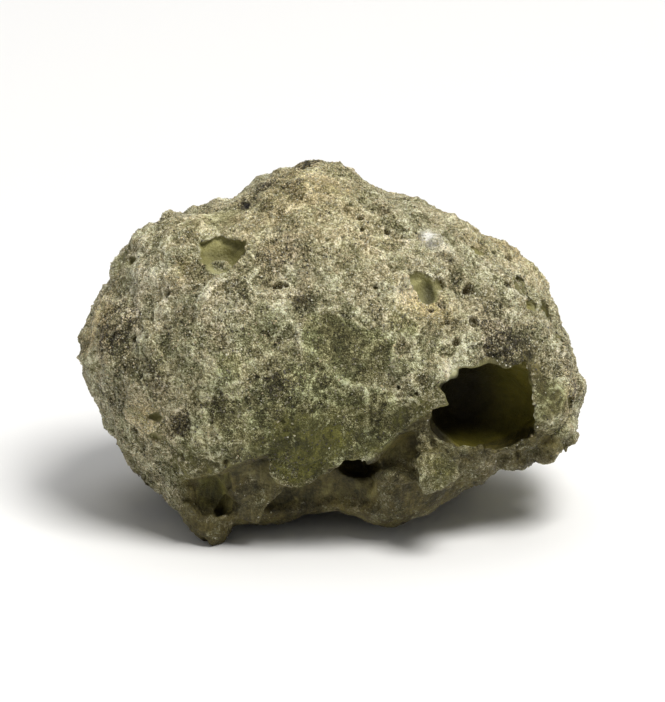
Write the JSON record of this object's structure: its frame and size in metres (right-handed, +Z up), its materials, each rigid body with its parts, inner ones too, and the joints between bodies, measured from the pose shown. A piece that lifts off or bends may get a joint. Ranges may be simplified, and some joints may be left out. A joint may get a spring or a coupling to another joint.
{
  "type": "trinitite",
  "caption": "Dome-shaped lump of frosted olive-green desert glass with a jagged overhanging lip, burst bubbles and blunt drips that it stands on.",
  "frame": {"origin": "centre of the footprint's bounding box, on the ground plane that the lump stands on", "axes": "+Z up as it stands, -Y towards the broken front with the great bubble, +X to the right seen from the front"},
  "size_m": [0.0395, 0.0274, 0.0275],
  "materials": {
    "trinitite": "frosted vesicular glass crusted with sand grains, glossy where it is broken"
  },
  "bodies": {
    "root": {"trinitite": "trinitite"}
  },
  "joints": []
}
